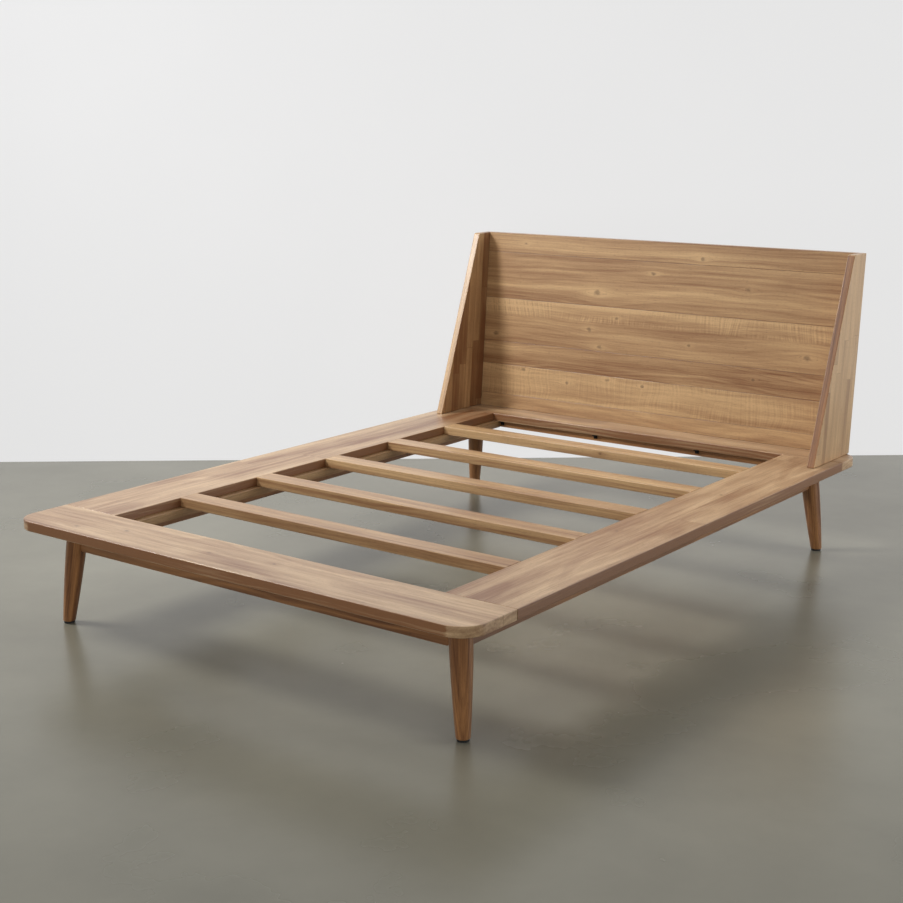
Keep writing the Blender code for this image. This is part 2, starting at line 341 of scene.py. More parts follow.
@cache
def glued_staves() -> bpy.types.NodeTree:
    """Staves glued edge to edge in butted lengths: their tones, their own grain, and the seams."""
    graph, takes, give = shared_group(
        "glued_staves", {"Vector": (0, 0, 0), "Width": 0.06, "Length": 0.6, "Start": 0.0, "Seed": 0.0},
        ("Tone", "Shift", "Aside", "Seam"),
    )
    along, across, _ = graph.parts(takes["Vector"])
    row = graph.maths("DIVIDE", graph.maths("SUBTRACT", across, takes["Start"]), takes["Width"])
    number = graph.maths("FLOOR", row)
    chance = graph.add("TexWhiteNoise", {"noise_dimensions": "2D"},
                       Vector=graph.place(number, takes["Seed"], 0.0))
    column = graph.maths("ADD", graph.maths("DIVIDE", along, takes["Length"]), chance.outputs["Value"])
    stave = graph.place(number, graph.maths("FLOOR", column), takes["Seed"])
    own = graph.add("TexWhiteNoise", {"noise_dimensions": "3D"}, Vector=stave).outputs["Value"]
    give("Tone", own)
    give("Shift", graph.maths("MULTIPLY", own, GRAIN_JUMP))
    middle = graph.maths("MULTIPLY_ADD", graph.maths("ADD", number, 0.5), takes["Width"], takes["Start"])
    stray = graph.maths("MULTIPLY", graph.maths("SUBTRACT", own, 0.5), STAVE_STRAY)
    give("Aside", graph.maths("SUBTRACT", stray, middle))
    to_edge = graph.maths("MULTIPLY", graph.maths("PINGPONG", row, 0.5), takes["Width"])
    to_end = graph.maths("MULTIPLY", graph.maths("PINGPONG", column, 0.5), takes["Length"])
    give("Seam", graph.spread(graph.maths("MINIMUM", to_edge, to_end), SEAM_WIDTH, 0.0))
    return graph.tree


@cache
def curled_figure() -> bpy.types.NodeTree:
    """Ribbons across the grain, as on rippled or coarsely sawn timber, in patches."""
    graph, takes, give = shared_group(
        "curled_figure", {"Vector": (0, 0, 0), "Gap": 0.012, "Middle": 0.0, "Reach": 0.03}, ("Ribbons",)
    )
    along, across, _ = graph.parts(takes["Vector"])
    aside = graph.maths("ABSOLUTE", graph.maths("SUBTRACT", across, takes["Middle"]))
    band = graph.spread(graph.maths("DIVIDE", aside, takes["Reach"]), 1.0, 0.55, smooth=True)
    bends = graph.noise(graph.stretch(takes["Vector"], CURL_BEND_GRAIN), 1.0, 1.0)
    bend = graph.maths("SUBTRACT", bends, 0.5)
    turns = graph.maths("DIVIDE", graph.maths("MULTIPLY_ADD", bend, 0.05, along), takes["Gap"])
    ribbon = graph.bands(graph.maths("MULTIPLY", turns, 1.6), 0.0)
    patches = graph.noise(graph.stretch(takes["Vector"], CURL_PATCH_GRAIN), 1.0, 1.0)
    stripes = graph.maths("MULTIPLY", graph.spread(ribbon, 0.25, 0.75), graph.spread(patches, 0.36, 0.56))
    give("Ribbons", graph.maths("MULTIPLY", stripes, band))
    return graph.tree


class Finish:
    """What every finish can do: build its material, and put it on a piece."""

    slot: str

    def material(self) -> bpy.types.Material:
        """Builds the shader."""
        raise NotImplementedError

    def dress(self, piece: bpy.types.Object) -> bpy.types.Object:
        """Puts the finish on a piece, in place of what it had.

        Args:
            piece: The piece.

        Returns:
            The same piece.
        """
        piece.data.materials.clear()
        piece.data.materials.append(self.material())
        return piece


def blank(name: str) -> tuple[bpy.types.Material, Graph, bpy.types.Node, bpy.types.NodeSocket]:
    """Starts a material.

    Args:
        name: Its name.

    Returns:
        The material, its graph, its shader, and the place on the piece in metres.
    """
    material = bpy.data.materials.new(name)
    material.use_nodes = True
    graph = Graph(material.node_tree)
    return material, graph, graph.tree.nodes["Principled BSDF"], graph.add("TexCoord").outputs["Object"]


@dataclass(frozen=True)
class Knot:
    """A knot's place on its piece, along and across the grain, and its size, in metres."""
    along: float
    across: float
    size: float


@dataclass(frozen=True)
class Staves:
    """How a board is glued up from staves, in metres."""

    width: float
    length: float
    start: float = 0.0
    seed: float = 0.0
    spread: float = 0.5


@dataclass(frozen=True)
class Timber(Finish):
    """Oiled timber for one piece: its tones, its figure, its knots and the way its grain runs."""

    name: str
    slot: str
    pale: Colour
    deep: Colour
    run: Vector
    face: Vector
    depth_of_tone: float = 0.5
    ring_gap: float = 0.008
    pith: tuple[float, float] = (0.0, 0.08)
    wander: float = 0.010
    rings: float = 0.34
    belts: float = 0.30
    clouds: float = 0.45
    streaks: float = 0.40
    fibre: float = 0.28
    curl: float = 0.0
    curl_band: tuple[float, float] = (0.0, 10.0)
    staves: Staves | None = None
    knots: tuple[Knot, ...] = ()
    collar: float = 0.20
    roughness: float = 0.44
    oil: float = 0.50
    oil_roughness: float = 0.34
    offset: tuple[float, float, float] = (0.0, 0.0, 0.0)
    seam_tone: float = 0.60
    pore_tone: float = 0.50
    pore_depth: float = 0.35
    eye_tone: float = 0.50
    eye_depth: float = 0.28
    gloss_swing: float = 0.14
    relief: float = 0.22
    relief_height: float = 0.00025
    seam_relief: float = -2.0

    def material(self) -> bpy.types.Material:
        """Builds the shader.

        Returns:
            The finished material.
        """
        material, graph, shader, coordinates = blank(self.name)
        run = self.run.normalized()
        turn = Matrix((run, self.face.cross(run).normalized(), self.face)).to_euler()
        place = graph.add("Mapping", {"vector_type": "POINT"}, Vector=coordinates, Rotation=turn).outputs[0]
        push, eye, halo = self.knotted(graph, place)
        along, across, depth = graph.parts(place)
        own = graph.place(along, graph.maths("ADD", across, push), depth)
        tone, seam = None, None
        if self.staves:
            staves = self.grouped(graph, glued_staves(), place, Width=self.staves.width,
                                  Length=self.staves.length, Start=self.staves.start, Seed=self.staves.seed)
            tone, shift, aside, seam = staves.outputs
            own = graph.arrows("ADD", own, graph.place(shift, aside, 0.0))
        own = graph.arrows("ADD", own, self.offset)
        rings = self.grouped(graph, growth_rings(), own, Gap=self.ring_gap, Wander=self.wander,
                             Pith_Across=self.pith[0] + self.offset[1],
                             Pith_Depth=self.pith[1] + self.offset[2]).outputs
        lines = self.grouped(graph, fibres(), own).outputs
        swings = [(rings["Rings"], self.rings), (rings["Belts"], self.belts), (lines["Clouds"], self.clouds),
                  (lines["Streaks"], self.streaks), (lines["Fibre"], self.fibre)]
        if self.staves:
            swings.append((tone, self.staves.spread))
        shade = self.depth_of_tone
        for value, share in swings:
            shade = graph.maths("MULTIPLY_ADD", graph.maths("SUBTRACT", value, 0.5), share, shade)
        if self.staves:
            shade = graph.maths("MULTIPLY_ADD", seam, self.seam_tone, shade)
        if self.curl:
            figure = self.grouped(graph, curled_figure(), place, Middle=self.curl_band[0],
                                  Reach=self.curl_band[1])
            shade = graph.maths("MULTIPLY_ADD", figure.outputs[0], -self.curl, shade)
        if self.knots:
            shade = graph.maths("MULTIPLY_ADD", halo, self.collar, shade)
        colour = graph.tint(graph.spread(shade, 0.0, 1.0), self.pale, self.deep)
        colour = graph.tint(graph.maths("MULTIPLY", lines["Pores"], self.pore_tone), colour,
                            tuple(part * self.pore_depth for part in self.deep))
        if self.knots:
            colour = graph.tint(graph.maths("MULTIPLY", eye, self.eye_tone), colour,
                                tuple(part * self.eye_depth for part in self.deep))
        graph.join(colour, shader.inputs["Base Color"])
        gloss = graph.maths("MULTIPLY_ADD", lines["Fibre"], self.gloss_swing,
                            self.roughness - self.gloss_swing / 2)
        graph.join(gloss, shader.inputs["Roughness"])
        height = graph.maths("MULTIPLY_ADD", lines["Pores"], -1.0, lines["Fibre"])
        if self.staves:
            height = graph.maths("MULTIPLY_ADD", seam, self.seam_relief, height)
        bump = graph.add("Bump", None, Strength=self.relief, Distance=self.relief_height, Height=height)
        graph.join(bump.outputs[0], shader.inputs["Normal"])
        shader.inputs["Coat Weight"].default_value = self.oil
        shader.inputs["Coat Roughness"].default_value = self.oil_roughness
        return material

    @staticmethod
    def grouped(graph: Graph, tree: bpy.types.NodeTree, place: Value, **inputs: Value) -> bpy.types.Node:
        """Places a shared group in this finish with its own values.

        Args:
            graph: The finish's graph.
            tree: The shared group.
            place: Its place along, across and through the piece.
            **inputs: What its other inputs take; an underscore stands for a space.

        Returns:
            The node that holds the group.
        """
        node = graph.add("Group", {"node_tree": tree}, Vector=place)
        for name, value in inputs.items():
            graph.join(value, node.inputs[name.replace("_", " ")])
        return node

    def knotted(self, graph: Graph, place: Value) -> tuple[Value, Value, Value]:
        """Adds this piece's knots together.

        Args:
            graph: The finish's graph.
            place: Its place along, across and through the piece.

        Returns:
            How far the grain is pushed, the dark eyes, and the halos round them.
        """
        push, eye, halo = 0.0, 0.0, 0.0
        for knot in self.knots:
            node = self.grouped(graph, branch_knot(), place, Along=knot.along, Across=knot.across,
                                Size=knot.size)
            push = graph.maths("ADD", push, node.outputs["Push"])
            eye = graph.maths("MAXIMUM", eye, node.outputs["Eye"])
            halo = graph.maths("MAXIMUM", halo, node.outputs["Halo"])
        return push, eye, halo


@dataclass(frozen=True)
class BlackSteel(Finish):
    """Blackened steel, with the colour rubbed thin here and there."""

    name: str = "blackened_steel"
    slot: str = "angle_steel"
    colour: Colour = (0.022, 0.022, 0.024)
    rubbed: Colour = (0.13, 0.125, 0.12)
    metal: float = 0.85

    def material(self) -> bpy.types.Material:
        """Builds the shader.

        Returns:
            The finished material.
        """
        material, graph, shader, place = blank(self.name)
        rubs = graph.spread(graph.noise(place, 260.0, 4.0, 0.65), 0.58, 0.74)
        graph.join(graph.tint(rubs, self.colour, self.rubbed), shader.inputs["Base Color"])
        graph.join(graph.spread(rubs, 0.0, 1.0, 0.48, 0.30), shader.inputs["Roughness"])
        shader.inputs["Metallic"].default_value = self.metal
        bump = graph.add("Bump", None, Strength=0.15, Distance=0.0001, Height=graph.noise(place, 1800.0, 2.0))
        graph.join(bump.outputs[0], shader.inputs["Normal"])
        return material


@dataclass(frozen=True)
class Rubber(Finish):
    """Matt black rubber, greyed with floor dust low down."""

    name: str = "glide_rubber"
    slot: str = "glide_rubber"
    colour: Colour = (0.018, 0.018, 0.018)
    dusty: Colour = (0.075, 0.072, 0.068)
    dust_height: float = 0.005

    def material(self) -> bpy.types.Material:
        """Builds the shader.

        Returns:
            The finished material.
        """
        material, graph, shader, place = blank(self.name)
        low = graph.spread(graph.parts(place)[2], self.dust_height, 0.0)
        dust = graph.maths("MULTIPLY", low, graph.spread(graph.noise(place, 420.0, 3.0), 0.4, 0.6))
        graph.join(graph.tint(dust, self.colour, self.dusty), shader.inputs["Base Color"])
        graph.join(graph.spread(dust, 0.0, 1.0, 0.72, 0.92), shader.inputs["Roughness"])
        bump = graph.add("Bump", None, Strength=0.3, Distance=0.0001, Height=graph.noise(place, 2500.0, 1.0))
        graph.join(bump.outputs[0], shader.inputs["Normal"])
        return material


# ---------------------------------------------------------------- workshop
def only(piece: bpy.types.Object) -> bpy.types.Object:
    """Selects this piece and nothing else.

    Args:
        piece: The piece.

    Returns:
        The same piece.
    """
    bpy.ops.object.select_all(action="DESELECT")
    piece.select_set(True)
    bpy.context.view_layer.objects.active = piece
    return piece


def started(name: str) -> bpy.types.Object:
    """Names the primitive just added and puts its place into its mesh.

    Args:
        name: Its name.

    Returns:
        The piece.
    """
    piece = bpy.context.object
    piece.name = piece.data.name = name
    only(piece)
    bpy.ops.object.transform_apply(location=True, rotation=True, scale=True)
    return piece


def block(name: str, low: Sequence[float], high: Sequence[float]) -> bpy.types.Object:
    """Starts a piece from a blank with these lowest and highest corners.

    Args:
        name: Its name.
        low: Its lowest corner.
        high: Its highest corner.

    Returns:
        The piece.
    """
    bpy.ops.object.select_all(action="DESELECT")
    middle = [(first + last) / 2 for first, last in zip(low, high)]
    bpy.ops.mesh.primitive_cube_add(size=1.0, location=middle)
    bpy.context.object.scale = [last - first for first, last in zip(low, high)]
    return started(name)


def choose(piece: bpy.types.Object, test: Test, kind: Pick = Pick.EDGE) -> None:
    """Opens a piece for editing with part of it chosen.

    Args:
        piece: The piece.
        test: Takes the middle of an edge or face, and its direction or normal, and says whether to choose it.
        kind: Whether edges or faces are chosen.
    """
    only(piece)
    bpy.ops.object.mode_set(mode="EDIT")
    bpy.ops.mesh.select_mode(type=kind.value)
    bpy.ops.mesh.select_all(action="DESELECT")
    bpy.ops.object.mode_set(mode="OBJECT")
    if kind is Pick.FACE:
        for face in piece.data.polygons:
            face.select = test(face.center, face.normal)
    else:
        for edge in piece.data.edges:
            first, last = (piece.data.vertices[index].co for index in edge.vertices)
            edge.select = test((first + last) / 2, (last - first).normalized())
    bpy.ops.object.mode_set(mode="EDIT")


def close_up() -> None:
    """Ends the editing."""
    bpy.ops.object.mode_set(mode="OBJECT")


def ease(piece: bpy.types.Object, radius: float, segments: int, test: Test) -> None:
    """Rounds the edges that pass the test.

    Args:
        piece: The piece.
        radius: How wide the rounding is.
        segments: How many flats it has.
        test: As in choose.
    """
    choose(piece, test)
    bpy.ops.mesh.bevel(offset=radius, segments=segments, profile=0.5, affect="EDGES")
    close_up()


def ease_sharp(piece: bpy.types.Object, radius: float, segments: int) -> None:
    """Rounds every edge that is still sharp.

    Args:
        piece: The piece.
        radius: How wide the rounding is.
        segments: How many flats it has.
    """
    choose(piece, lambda middle, along: False)
    bpy.ops.mesh.edges_select_sharp(sharpness=math.radians(40))
    bpy.ops.mesh.bevel(offset=radius, segments=segments, profile=0.5, affect="EDGES")
    close_up()


def polish(piece: bpy.types.Object, angle: float = 50.0) -> bpy.types.Object:
    """Shades the rounded edges smoothly and keeps the flats flat.

    Args:
        piece: The piece.
        angle: Edges sharper than this, in degrees, stay sharp.

    Returns:
        The same piece.
    """
    only(piece)
    bpy.ops.object.shade_smooth_by_angle(angle=math.radians(angle))
    piece.modifiers.new("flats", "WEIGHTED_NORMAL").keep_sharp = True
    bpy.ops.object.modifier_apply(modifier="flats")
    return piece


def copied(piece: bpy.types.Object, name: str, move: Matrix) -> bpy.types.Object:
    """Copies a piece with its own mesh, moved within the mesh.

    Args:
        piece: The piece.
        name: The copy's name.
        move: Where the copy goes.

    Returns:
        The copy.
    """
    twin = piece.copy()
    twin.data = piece.data.copy()
    twin.name = twin.data.name = name
    bpy.context.collection.objects.link(twin)
    twin.data.transform(move)
    return twin


def fitted(piece: bpy.types.Object, *stands_for: str) -> bpy.types.Object:
    """Fixes a finished piece to the bed, in place of the solids it stands for.

    Args:
        piece: The piece.
        *stands_for: The solids that it hides.

    Returns:
        The same piece.
    """
    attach(piece, "root")
    if stands_for:
        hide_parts(*stands_for)
    LOG.info("%s: %d faces", piece.name, len(piece.data.polygons))
    return piece


# ---------------------------------------------------------------- timber tones
PALE_TAN, DEEP_TAN = srgb(208, 171, 124), srgb(130, 85, 50)
PALE_BROWN, DEEP_BROWN = srgb(184, 130, 80), srgb(104, 63, 34)
PALE_DECK, DEEP_DECK = srgb(212, 180, 140), srgb(136, 92, 58)

X, Y, Z = Way.ACROSS.arrow, Way.ALONG.arrow, Way.UP.arrow


# ---------------------------------------------------------------- deck
@dataclass(frozen=True)
class Cut:
    """What sets one board apart: its draw of staves, where along the timber it was cut, and its knots."""

    seed: float
    start: float
    knots: tuple[Knot, ...] = ()


END_BOARDS = {
    End.FOOT: Cut(3.0, 0.3, (Knot(-0.572, -1.041, 0.008), Knot(-0.425, -0.994, 0.007),
                             Knot(-0.098, -1.008, 0.006), Knot(0.099, -0.981, 0.007))),
    End.HEAD: Cut(8.0, 4.7),
}
SIDE_BOARDS = {
    Side.LEFT: Cut(5.0, 1.9),
    Side.RIGHT: Cut(6.0, 7.3, (Knot(-0.214, -0.622, 0.006), Knot(0.300, -0.663, 0.007))),
}


@dataclass
class Deck:
    """The boards round the deck, with rounded outer corners."""

    corner_radius: float = 0.070
    corner_segments: int = 16
    edge: float = 0.0025
    edge_segments: int = 3
    end_stave: float = 0.131
    end_stave_length: float = 3.0
    end_stave_spread: float = 0.24
    end_tone: float = 0.44
    side_stave: float = 0.1025
    side_stave_length: float = 1.9
    side_stave_spread: float = 0.25
    side_tone: float = 0.50

    def build(self) -> None:
        """Makes the two end boards and the two side boards."""
        for end in End:
            self.end_board(end)
        for side in Side:
            self.side_board(side)

    def end_board(self, end: End) -> None:
        """Makes the board across one end of the deck.

        Args:
            end: Which end.
        """
        node, cut = "deck_board_" + end.value, END_BOARDS[end]
        low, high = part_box(node)
        outer = low.y if end is End.FOOT else high.y
        board = block(end.value + "_board", low, high)
        ease(board, self.corner_radius, self.corner_segments,
             lambda middle, along: abs(along.z) > 0.9 and abs(middle.y - outer) < 0.001)
        ease_sharp(board, self.edge, self.edge_segments)
        polish(board)
        staves = Staves(self.end_stave, self.end_stave_length, low.y, cut.seed, self.end_stave_spread)
        Timber(node, "deck_wood", PALE_DECK, DEEP_DECK, X, Z, depth_of_tone=self.end_tone,
               pith=(0.02, -0.035), wander=0.018, knots=cut.knots, staves=staves,
               offset=(cut.start, 0.0, 0.0)).dress(board)
        fitted(board, node)

    def side_board(self, side: Side) -> None:
        """Makes the board along one side of the deck.

        Args:
            side: Which side.
        """
        node, cut = "deck_board_" + side.value, SIDE_BOARDS[side]
        low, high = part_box(node)
        board = block(side.value + "_board", low, high)
        ease_sharp(board, self.edge, self.edge_segments)
        polish(board)
        staves = Staves(self.side_stave, self.side_stave_length, -high.x, cut.seed, self.side_stave_spread)
        Timber(node, "deck_wood", PALE_DECK, DEEP_DECK, Y, Z, depth_of_tone=self.side_tone,
               pith=(0.01, -0.035), wander=0.02, knots=cut.knots, staves=staves,
               offset=(cut.start, 0.0, 0.0)).dress(board)
        fitted(board, node)


# ---------------------------------------------------------------- slats and rails
@dataclass
class Underframe:
    """Slats, aprons, ledgers and corner blocks."""

    # Painted light and shade: the slats' tones pale from foot to head, deepened on the first slats for the
    # shade they stand in and paled on the last as if lit.
    slat_tones_and_painted_shade: tuple[float, ...] = (0.56, 0.50, 0.48, 0.44, 0.24)
    apron_tone: float = 0.55
    # Painted light: the head rail's pale tone stands in for light bounced up from the floor onto its shaded
    # face.
    head_rail_bounce_tone: float = 0.15
    ledger_tone: float = 0.40
    block_tone: float = 0.70
    ring_gap: float = 0.006
    last_slat_knot: Knot = Knot(0.069, 0.299, 0.006)

    def build(self) -> None:
        """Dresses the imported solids; each one's draw picks its own stretch of timber."""
        for number, tone in enumerate(self.slat_tones_and_painted_shade, 1):
            self.dressed(f"slat_{number}", "slat_wood", X, -Y, tone, number)
        for name, run, face, draw in (("foot", X, -Y, 24), ("head", X, -Y, 24), ("left", Y, -X, 24),
                                      ("right", Y, X, 25)):
            # The head rail is paler, as painted bounce light from the floor.
            tone = self.head_rail_bounce_tone if name == "head" else self.apron_tone
            self.dressed("apron_" + name, "apron_wood", run, face, tone, draw)
        for side, face in ((Side.LEFT, X), (Side.RIGHT, -X)):
            self.dressed("slat_ledger_" + side.value, "apron_wood", Y, face, self.ledger_tone, 31)
            for end in End:
                node = f"corner_block_{end.value}_{side.value}"
                self.dressed(node, "block_wood", X, -Y, self.block_tone, 41)

    def dressed(self, node: str, slot: str, run: Vector, face: Vector, tone: float, draw: int) -> None:
        """Gives one solid its timber.

        Args:
            node: The solid's name.
            slot: The slot of its finish.
            run: The way its grain runs.
            face: The way its broad face looks.
            tone: How deep its tone is, from 0 to 1.
            draw: Picks its stretch of timber.
        """
        light = slot == "slat_wood" or node.startswith("slat_ledger")
        pale, deep = (PALE_TAN, DEEP_TAN) if light else (PALE_BROWN, DEEP_BROWN)
        Timber(node, slot, pale, deep, run, face, depth_of_tone=tone, pith=(0.01, 0.03),
               ring_gap=self.ring_gap, knots=(self.last_slat_knot,) if node == "slat_5" else (),
               offset=(draw * 1.37, draw * 0.61, draw * 0.23)).dress(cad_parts[node])
        LOG.info("%s dressed", node)


# ---------------------------------------------------------------- legs
@dataclass
class Legs:
    """Turned legs that lean outwards, each on a rubber glide."""

    top_radius: float = 0.0293
    foot_radius: float = 0.0173
    swell: float = 1.75
    sides: int = 64
    rings: int = 14
    chamfer: float = 0.0015
    glide_sides: int = 48
    glide_edge: float = 0.0008

    def build(self) -> None:
        """Makes the four legs and their glides."""
        for number, (end, side) in enumerate((end, side) for end in End for side in Side):
            self.leg(end, side, number)
            self.glide(end, side)

    def radius(self, share: float) -> float:
        """The leg's radius at a share of its height."""
        return self.foot_radius + (self.top_radius - self.foot_radius) * (1 - (1 - share) ** self.swell)

    def leg(self, end: End, side: Side, number: int) -> None:
        """Makes one leg, ring by ring from its top.

        Args:
            end: The end it stands at.
            side: The side it stands at.
            number: Picks its stretch of timber.
        """
        node = f"leg_{end.value}_{side.value}"
        low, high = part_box(node)
        signs = (-1 if side is Side.LEFT else 1), (-1 if end is End.FOOT else 1)
        spread = [(low.x, high.x), (low.y, high.y)]
        top = [(near if sign > 0 else far) + sign * self.top_radius
               for (near, far), sign in zip(spread, signs)]
        foot = [(far if sign > 0 else near) - sign * self.foot_radius
                for (near, far), sign in zip(spread, signs)]
        bpy.ops.object.select_all(action="DESELECT")
        bpy.ops.mesh.primitive_circle_add(vertices=self.sides, radius=self.top_radius, fill_type="NGON",
                                          location=(*top, high.z))
        leg = started(f"{end.value}_{side.value}_leg")
        bpy.ops.object.mode_set(mode="EDIT")
        bpy.ops.mesh.select_mode(type="FACE")
        bpy.ops.mesh.select_all(action="SELECT")
        tall = high.z - low.z
        heights = [1 - step / self.rings for step in range(1, self.rings)] + [self.chamfer / tall, 0.0]
        centre, radius = Vector((*top, high.z)), self.top_radius
        for share in heights:
            spot = Vector((foot[0] + (top[0] - foot[0]) * share, foot[1] + (top[1] - foot[1]) * share,
                           low.z + tall * share))
            bpy.ops.mesh.extrude_region_move(TRANSFORM_OT_translate={"value": spot - centre})
            wide = self.radius(share) - (self.chamfer if share == 0.0 else 0.0)
            bpy.ops.transform.resize(value=(wide / radius, wide / radius, 1.0), center_override=spot)
            centre, radius = spot, wide
        bpy.ops.mesh.select_all(action="SELECT")
        bpy.ops.mesh.normals_make_consistent(inside=False)
        close_up()
        polish(leg, 35.0)
        run = Vector((top[0] - foot[0], top[1] - foot[1], tall)).normalized()
        Timber(node, "leg_wood", PALE_BROWN, DEEP_BROWN, run, Y.cross(run).cross(run).normalized(),
               depth_of_tone=0.62, pith=(0.02, 0.04), ring_gap=0.005, oil=0.22, streaks=0.55,
               offset=(number * 2.3, number * 0.37, number * 0.21)).dress(leg)
        fitted(leg, node)

    def glide(self, end: End, side: Side) -> None:
        """Makes the rubber disc under one leg.

        Args:
            end: The leg's end.
            side: The leg's side.
        """
        node = f"glide_{end.value}_{side.value}"
        low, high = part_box(node)
        bpy.ops.object.select_all(action="DESELECT")
        bpy.ops.mesh.primitive_cylinder_add(vertices=self.glide_sides, radius=(high.x - low.x) / 2,
                                            depth=high.z - low.z, location=(low + high) / 2)
        glide = started(f"{end.value}_{side.value}_glide")
        ease_sharp(glide, self.glide_edge, 2)
        polish(glide)
        Rubber().dress(glide)
        fitted(glide, node)


# ---------------------------------------------------------------- headboard
@dataclass(frozen=True)
class Plank:
    """One plank's tone and figure, its rippled band, and its knots.

    The band is where its middle lies below the plank's upper edge and how far it reaches, as shares of the
    plank's height; with none, ripples may show anywhere. A knot is its place across the bed, its height above
    the deck and its size.
    """

    tone: float
    pith: tuple[float, float]
    ring_gap: float = 0.008
    streaks: float = 0.40
    curl: float = 0.0
    knots: tuple[tuple[float, float, float], ...] = ()
    band: tuple[float, float] | None = None


BOARDS = (
    Plank(0.48, (0.00, 0.05), 0.006),
    Plank(0.38, (-0.02, 0.03), 0.007, 0.36, 0.22, ((-0.339, 0.121, 0.008), (-0.171, 0.146, 0.009),
                                                  (-0.026, 0.140, 0.007), (-0.532, 0.150, 0.009))),
    Plank(0.68, (0.05, 0.04), 0.005, 0.62, 0.0, ((0.395, 0.208, 0.007),)),
    Plank(0.46, (-0.04, 0.03), 0.009, 0.40, 0.42, ((0.583, 0.296, 0.013), (-0.213, 0.262, 0.010),
                                                  (-0.257, 0.320, 0.009), (-0.148, 0.369, 0.006),
                                                  (-0.664, 0.273, 0.009), (0.146, 0.299, 0.006)),
          band=(0.19, 0.22)),
    Plank(0.50, (0.00, 0.025), 0.010, 0.46, 0.0, ((-0.012, 0.535, 0.008), (0.352, 0.504, 0.010),
                                                 (-0.234, 0.453, 0.014))),
    Plank(0.45, (0.02, 0.05), 0.008, 0.44, 0.0, ((0.176, 0.595, 0.009), (-0.55, 0.61, 0.006))),
)


@dataclass(frozen=True)
class WingTimber:
    """One wing's staves, and the piece that lips its front edge."""

    tone: float
    seed: float
    spread: float
    front_pale: Colour
    front_deep: Colour
    front_tone: float
    front_knots: tuple[Knot, ...] = ()


WINGS = {
    # The left wing's deeper tone is partly painted shade, for its inner face in shade beside the headboard;
    # its strong stave contrast is its own.
    Side.LEFT: WingTimber(0.66, 2.0, 0.60, PALE_TAN, DEEP_TAN, 0.42),
    Side.RIGHT: WingTimber(0.44, 9.0, 0.36, PALE_BROWN, DEEP_BROWN, 0.62,
                           (Knot(0.662, 0.733, 0.006), Knot(0.560, 0.726, 0.007))),
}


@dataclass
class Headboard:
    """Six planks between two wings that narrow upwards."""

    wing_foot: float = 0.270
    wing_top: float = 0.090
    edge: float = 0.0028
    top_corner: float = 0.006
    wing_stave: float = 0.0375
    wing_stave_length: float = 0.42
    uncut_length: float = 4000.0
    streak_share: float = 0.62

    def build(self) -> None:
        """Dresses the planks and makes the wings."""
        lean = self.lean()
        for number, board in enumerate(BOARDS, 1):
            self.plank(number, board, lean)
        for side in Side:
            self.wing(side, lean)

    @staticmethod
    def lean() -> Vector:
        """The direction up the headboard.

        Returns:
            The direction, one long.
        """
        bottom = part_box("headboard_plank_1")[1]
        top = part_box("headboard_plank_6")[1]
        return Vector((0.0, top.y - bottom.y, top.z - bottom.z)).normalized()

    def plank(self, number: int, board: Plank, lean: Vector) -> None:
        """Gives one plank its timber.

        Args:
            number: Its place, counted from the bottom.
            board: Its figure.
            lean: The direction up the headboard.
        """
        node = f"headboard_plank_{number}"
        low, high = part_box(node)
        rise = (high.z - low.z) * lean.y / lean.z
        bottom = Vector((0.0, low.y, low.z)).dot(lean)
        top = Vector((0.0, low.y + rise, high.z)).dot(lean)
        tall = top - bottom
        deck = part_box("headboard_plank_1")[0]
        zero = Vector((0.0, deck.y, deck.z)).dot(lean)
        band = (top - tall * board.band[0], tall * board.band[1]) if board.band else (bottom, 1.0)
        Timber(node, "panel_wood", PALE_TAN, DEEP_TAN, X, X.cross(lean), depth_of_tone=board.tone,
               pith=((bottom + top) / 2 + board.pith[0], board.pith[1]), ring_gap=board.ring_gap,
               wander=0.016, rings=0.28, belts=0.22, clouds=0.40, collar=-0.16,
               streaks=board.streaks * self.streak_share, curl=board.curl, curl_band=band,
               knots=tuple(Knot(x, zero + height / lean.z, size) for x, height, size in board.knots),
               staves=Staves(tall, self.uncut_length, bottom, number, 0.0),
               offset=(number * 1.7, 0.0, number * 0.4)).dress(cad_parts[node])
        LOG.info("%s dressed", node)

    def wing(self, side: Side, lean: Vector) -> None:
        """Makes one wing.

        Args:
            side: Which side.
            lean: The direction up the headboard.
        """
        node, timber = "headboard_wing_" + side.value, WINGS[side]
        low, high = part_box(node)
        wing = block(side.value + "_wing", low, (high.x, low.y + self.wing_foot, high.z))
        slope = Vector((0.0, high.y - self.wing_top - low.y, high.z - low.z)).normalized()
        front = X.cross(slope)
        middle = low.y + self.wing_foot / 2
        for behind, goal in ((True, high.y), (False, high.y - self.wing_top)):
            choose(wing, lambda spot, along: spot.z > high.z - 0.001 and abs(along.x) > 0.9
                   and (spot.y > middle) == behind)
            start = low.y + (self.wing_foot if behind else 0.0)
            bpy.ops.transform.translate(value=(0.0, goal - start, 0.0))
            close_up()
        ease(wing, self.top_corner, 5, lambda spot, along: abs(along.x) > 0.9 and spot.z > high.z - 0.001
             and spot.y < high.y - self.wing_top / 2)
        ease_sharp(wing, self.edge, 3)
        polish(wing)
        lipping = Timber(node + "_front", "wing_wood", timber.front_pale, timber.front_deep, slope, front,
                         depth_of_tone=timber.front_tone, ring_gap=0.005, pith=(0.0, 0.03),
                         knots=timber.front_knots)
        staves = Staves(self.wing_stave, self.wing_stave_length, 0.01, timber.seed, timber.spread)
        Timber(node, "wing_wood", PALE_TAN, DEEP_TAN, lean, -X if side is Side.LEFT else X,
               depth_of_tone=timber.tone, pith=(0.0, 0.07), ring_gap=0.007, staves=staves,
               streaks=0.3).dress(wing)
        wing.data.materials.append(lipping.material())
        choose(wing, lambda spot, normal: normal.dot(front) > 0.9, Pick.FACE)
        wing.active_material_index = 1
        bpy.ops.object.material_slot_assign()
        close_up()
        fitted(wing, node)


